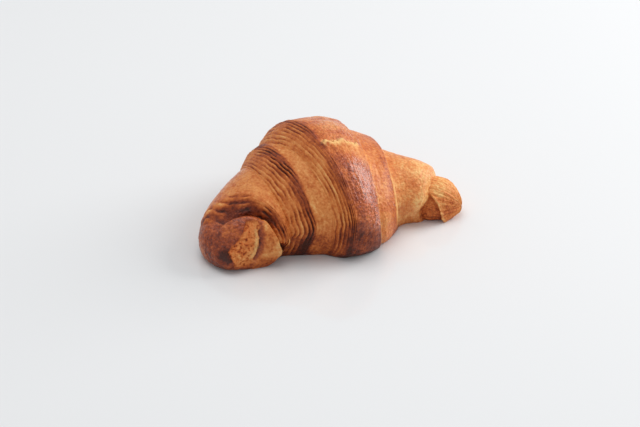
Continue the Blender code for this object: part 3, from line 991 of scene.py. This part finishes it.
def crust_material(tone):
    """Egg-washed crust: painted shade in the grooves and a painted highlight on the layers' edges, streaked
    along the roll, speckled, glossier where glazed.
    """
    material = bpy.data.materials.new("baked_crust")
    material.use_nodes = True
    tree = material.node_tree
    shader = tree.nodes["Principled BSDF"]
    roll = mark(tree, "roll", "Vector")
    place = tree.nodes.new("ShaderNodeTexCoord").outputs["Object"]
    glaze, crumb, along, plain = (mark(tree, name) for name in ("glaze", "crumb", "along", "plain"))

    # Baking: streaked, blotched and speckled, with painted shade in the gaps between layers and a painted
    # highlight on their edges, and darker in torn pits.
    round_streak = noise(tree, drawn_round(tree, roll, ROUND_STREAKS_DRAWN), ROUND_STREAKS, 3.0)
    long_streak = noise(tree, drawn_along(tree, roll, LONG_STREAKS_DRAWN), LONG_STREAKS, 3.5)
    turned_streak = sums(tree, "MULTIPLY", sums(tree, "SUBTRACT", long_streak, round_streak), along)
    streak = sums(tree, "ADD", round_streak, turned_streak)
    blotch = noise(tree, place, BLOTCHES, 1.0)
    speck = noise(tree, place, SPECKS, 2.0)
    streak_shift = stretch(tree, plain, *PLAIN_SPAN, *STREAK_SHIFT)
    streak_shift = sums(tree, "MULTIPLY_ADD", along, ALONG_SHIFT, streak_shift)
    speck_shift = stretch(tree, plain, *PLAIN_SPAN, *SPECK_SHIFT)
    level = sums(tree, "MULTIPLY_ADD", less_half(tree, streak), streak_shift, mark(tree, "bake_and_shade"))
    level = sums(tree, "MULTIPLY_ADD", less_half(tree, blotch), BLOTCH_SHIFT, level)
    level = sums(tree, "MULTIPLY_ADD", less_half(tree, speck), speck_shift, level)
    gap_shade_ridge_highlight = stretch(tree, mark(tree, "groove"), *LAYER_SHADE_AND_HIGHLIGHT_SPAN, *LAYER_SHADE_AND_HIGHLIGHT_SPAN)
    level = sums(tree, "MULTIPLY_ADD", gap_shade_ridge_highlight, LAYER_SHADE_AND_HIGHLIGHT_SHIFT, level)
    pits = sums(tree, "MULTIPLY", stretch(tree, noise(tree, place, PITS, 4.0), *PIT_SPAN), crumb)
    level = sums(tree, "MULTIPLY_ADD", pits, PIT_SHIFT, level)

    # Colour: the level of baking with its painted shade, the redness of the wash and the pale edges with
    # their painted highlights.
    patches = less_half(tree, noise(tree, place, PALE_PATCHES, 5.0))
    pale = stretch(tree, sums(tree, "MULTIPLY_ADD", patches, PALE_SHIFT, mark(tree, "pale")), *PALE_SPAN)
    washed = sums(tree, "MAXIMUM", glaze, sums(tree, "MULTIPLY", crumb, CRUMB_REDNESS))
    redness = sums(tree, "MULTIPLY", washed, stretch(tree, blotch, *REDNESS_SPAN))
    colour = tree.nodes.new("ShaderNodeGroup")
    colour.node_tree = tone
    for name, value in (("Bake", level), ("Redness", redness), ("Pale", pale)):
        tree.links.new(value, colour.inputs[name])
    tree.links.new(colour.outputs["Color"], shader.inputs["Base Color"])

    # Gloss: the wash shines, and torn crumb is dull.
    gloss = sums(tree, "MULTIPLY_ADD", glaze, GLAZE_ROUGHNESS, CRUST_ROUGHNESS)
    gloss = sums(tree, "MULTIPLY_ADD", less_half(tree, speck), SPECK_ROUGHNESS, gloss)
    gloss = sums(tree, "MULTIPLY_ADD", crumb, CRUMB_ROUGHNESS, gloss)
    tree.links.new(gloss, shader.inputs["Roughness"])
    tree.links.new(sums(tree, "MULTIPLY", glaze, GLAZE_COAT), shader.inputs["Coat Weight"])
    shader.inputs["Coat Roughness"].default_value = 0.26
    shader.inputs["Coat IOR"].default_value = 1.50
    shader.inputs["IOR"].default_value = 1.42
    shader.inputs["Specular IOR Level"].default_value = 0.32

    # Grain: grit all over, threads round the layers and bubbles in the wash.
    grit = noise(tree, place, GRIT, 6.0)
    threads = noise(tree, drawn_round(tree, roll, THREADS_DRAWN), THREADS, 7.0)
    grain = sums(tree, "MULTIPLY_ADD", threads, stretch(tree, plain, *THREAD_SPAN), grit)
    cell = add(tree, "ShaderNodeTexVoronoi", {"Vector": place, "Scale": BUBBLE_SCALE}, feature="SMOOTH_F1")
    inside = sums(tree, "SUBTRACT", BUBBLE_EDGE, cell.outputs["Distance"])
    grain = sums(tree, "MULTIPLY_ADD", sums(tree, "MULTIPLY", inside, glaze), BUBBLE_RISE, grain)
    heights = {"Strength": GRAIN_STRENGTH, "Distance": GRAIN_HEIGHT, "Height": grain}
    tree.links.new(add(tree, "ShaderNodeBump", heights).outputs[0], shader.inputs["Normal"])
    return material


# ---------------------------------------------------------------- settings

class CroissantRelief(bpy.types.PropertyGroup):
    layer_height: FloatProperty(
        name="Layer height", description="Step from one laminated layer to the next",
        default=0.0013, min=0.0, unit="LENGTH")
    layer_spacing: FloatProperty(
        name="Layer spacing", description="Distance between laminated layers along a slope",
        default=0.0017, min=0.0003, unit="LENGTH")
    layer_waviness: FloatProperty(
        name="Layer waviness", description="How far a layer wanders along the roll",
        default=0.0042, min=0.0, unit="LENGTH")
    wrinkle_depth: FloatProperty(
        name="Wrinkle depth", description="Depth of the fine wrinkles drawn round the roll",
        default=0.0006, min=0.0, unit="LENGTH")
    furrow_depth: FloatProperty(
        name="Furrow depth", description="Depth of the folds that run along the horn",
        default=0.0026, min=0.0, unit="LENGTH")
    blister_height: FloatProperty(
        name="Blister height", description="Height of the blisters in the glaze",
        default=0.0007, min=0.0, unit="LENGTH")
    blister_size: FloatProperty(
        name="Blister size", description="Distance between blisters",
        default=0.0028, min=0.0005, unit="LENGTH")
    crumb_depth: FloatProperty(
        name="Crumb depth", description="Roughness of the torn dough",
        default=0.0030, min=0.0, unit="LENGTH")
    unevenness: FloatProperty(
        name="Unevenness", description="Slow swell and sag of the whole roll",
        default=0.0016, min=0.0, unit="LENGTH")
    seed: IntProperty(name="Seed", description="Chooses another pattern of layers and blisters", default=4)


def colour_property(name, description, default):
    return FloatVectorProperty(
        name=name, description=description, default=default, size=3, min=0.0, max=1.0, subtype="COLOR")


class CroissantColours(bpy.types.PropertyGroup):
    cream: colour_property("Cream", "Palest crust, on cut and torn edges", (0.92, 0.54, 0.20))
    golden: colour_property("Golden", "Lightly baked crust", (0.80, 0.315, 0.090))
    amber: colour_property("Amber", "Evenly baked crust", (0.62, 0.165, 0.034))
    brown: colour_property("Brown", "Well baked crust", (0.37, 0.072, 0.013))
    mahogany: colour_property("Mahogany", "Deeply baked crust", (0.18, 0.027, 0.007))
    # The burnt tone also gives the painted shade in the horn's hollow and crack.
    burnt: colour_property("Burnt", "Darkest crust, in hollows and cracks", (0.065, 0.012, 0.004))
    red_tint: colour_property("Red tint", "Tint of the egg wash where it is thick", (1.0, 0.72, 0.70))


class CroissantStage(bpy.types.PropertyGroup):
    azimuth: FloatProperty(
        name="Camera azimuth", description="Direction of the camera round the croissant",
        default=radians(-23.9), subtype="ANGLE")
    elevation: FloatProperty(
        name="Camera elevation", description="Height of the camera above the horizon",
        default=radians(32), subtype="ANGLE")
    distance: FloatProperty(
        name="Camera distance", description="From the camera to the point it looks at",
        default=1.1, unit="LENGTH")
    lens: FloatProperty(
        name="Lens", description="Focal length in millimetres on a 36 mm sensor", default=110.3)
    floor_colour: colour_property("Floor", "Colour of the floor", (0.80, 0.805, 0.81))
    key_power: FloatProperty(
        name="Window light", description="Power of the large soft light on the east side, in watts",
        default=13.6)
    fill_power: FloatProperty(
        name="Top light", description="Power of the light overhead, in watts", default=7.6)
    world_level: FloatProperty(
        name="Room light", description="Brightness of the pale room", default=0.57)


# ---------------------------------------------------------------- operators

def finish_piece(piece):
    """Ties a finished piece to the frame."""
    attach(piece, "root")


class CROISSANT_OT_crust(bpy.types.Operator):
    """Build the crust with its layers, blisters and torn horn"""

    bl_idname = "croissant.crust"
    bl_label = "Build crust"

    def execute(self, context):
        relief, colours = context.scene.croissant_relief, context.scene.croissant_colours
        material = crust_material(bake_tone_group(colours))
        values = {
            "Layer height": relief.layer_height, "Layer spacing": relief.layer_spacing,
            "Layer waviness": relief.layer_waviness, "Wrinkle depth": relief.wrinkle_depth,
            "Furrow depth": relief.furrow_depth,
            "Blister height": relief.blister_height, "Blister size": relief.blister_size,
            "Crumb depth": relief.crumb_depth, "Unevenness": relief.unevenness,
            "Seed": relief.seed, "Crust": material,
        }
        piece = apply_tree(build_base_mesh(), relief_tree(), values, "croissant_crust")
        finish_piece(piece)
        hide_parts(NODE)
        return {"FINISHED"}


def look_at(obj, target):
    direction = target - obj.location
    obj.rotation_euler = direction.to_track_quat("-Z", "Y").to_euler()


def add_area_light(name, location, target, size, power):
    data = bpy.data.lights.new(name, "AREA")
    data.shape = "DISK"
    data.size = size
    data.energy = power
    light = bpy.data.objects.new(name, data)
    light.location = location
    look_at(light, target)
    bpy.context.scene.collection.objects.link(light)


def floor_material(colour):
    material = bpy.data.materials.new("pale_floor")
    material.use_nodes = True
    shader = material.node_tree.nodes["Principled BSDF"]
    shader.inputs["Base Color"].default_value = (*colour, 1.0)
    shader.inputs["Roughness"].default_value = FLOOR_ROUGHNESS
    shader.inputs["IOR"].default_value = FLOOR_IOR
    return material


def add_floor(scene, colour):
    mesh = bpy.data.meshes.new("floor")
    corners = [(x * FLOOR_HALF, y * FLOOR_HALF, 0) for x, y in ((-1, -1), (1, -1), (1, 1), (-1, 1))]
    mesh.from_pydata(corners, [], [(0, 1, 2, 3)])
    mesh.materials.append(floor_material(colour))
    floor = bpy.data.objects.new("floor", mesh)
    floor.location.z = CAD_LOW.z
    scene.collection.objects.link(floor)
    floor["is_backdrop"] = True


def add_camera(scene, lens, location, target):
    data = bpy.data.cameras.new("camera")
    data.lens = lens
    data.sensor_width = SENSOR_WIDTH
    camera = bpy.data.objects.new("camera", data)
    camera.location = location
    look_at(camera, target)
    scene.collection.objects.link(camera)
    scene.camera = camera


def set_room(scene, level):
    """A pale room that lights at the given level and shows a brighter backdrop."""
    world = scene.world or bpy.data.worlds.new("room")
    scene.world = world
    world.use_nodes = True
    tree = world.node_tree
    background = tree.nodes["Background"]
    background.inputs["Color"].default_value = ROOM_COLOUR
    seen = tree.nodes.new("ShaderNodeLightPath").outputs["Is Camera Ray"]
    strength = stretch(tree, seen, 0.0, 1.0, level, BACKDROP_LEVEL)
    tree.links.new(strength, background.inputs["Strength"])


class CROISSANT_OT_stage(bpy.types.Operator):
    """Set the floor, the lights and the camera"""

    bl_idname = "croissant.stage"
    bl_label = "Set stage"

    def execute(self, context):
        scene, stage = context.scene, context.scene.croissant_stage
        middle = Vector(((CAD_LOW.x + CAD_HIGH.x) / 2, (CAD_LOW.y + CAD_HIGH.y) / 2, CAD_LOW.z))
        target = middle + AIM
        turn = Matrix.Rotation(stage.azimuth, 4, "Z")
        back = Vector((0.0, -cos(stage.elevation), sin(stage.elevation)))
        add_floor(scene, stage.floor_colour)
        add_camera(scene, stage.lens, target + (turn @ back) * stage.distance, target)
        add_area_light("window_light", target + turn @ WINDOW_PLACE, target, WINDOW_SIZE, stage.key_power)
        add_area_light("top_light", target + turn @ TOP_PLACE, target, TOP_SIZE, stage.fill_power)
        set_room(scene, stage.world_level)
        scene.view_settings.view_transform = "Standard"
        return {"FINISHED"}


class CROISSANT_PT_panel(bpy.types.Panel):
    bl_idname = "CROISSANT_PT_panel"
    bl_label = "Croissant"
    bl_space_type = "VIEW_3D"
    bl_region_type = "UI"
    bl_category = "Croissant"

    def draw(self, context):
        scene = context.scene
        for title, group, operator in (
            ("Relief", scene.croissant_relief, "croissant.crust"),
            ("Colours", scene.croissant_colours, None),
            ("Stage", scene.croissant_stage, "croissant.stage"),
        ):
            box = self.layout.box()
            box.label(text=title)
            for name in group.__annotations__:
                box.prop(group, name)
            if operator:
                box.operator(operator)


CLASSES = (
    CroissantRelief, CroissantColours, CroissantStage,
    CROISSANT_OT_crust, CROISSANT_OT_stage, CROISSANT_PT_panel,
)


def register():
    for cls in CLASSES:
        bpy.utils.register_class(cls)
    bpy.types.Scene.croissant_relief = PointerProperty(type=CroissantRelief)
    bpy.types.Scene.croissant_colours = PointerProperty(type=CroissantColours)
    bpy.types.Scene.croissant_stage = PointerProperty(type=CroissantStage)


def unregister():
    del bpy.types.Scene.croissant_stage
    del bpy.types.Scene.croissant_colours
    del bpy.types.Scene.croissant_relief
    for cls in reversed(CLASSES):
        bpy.utils.unregister_class(cls)


def main():
    register()
    bpy.ops.croissant.crust()
    bpy.ops.croissant.stage()


if __name__ == "__main__":
    main()
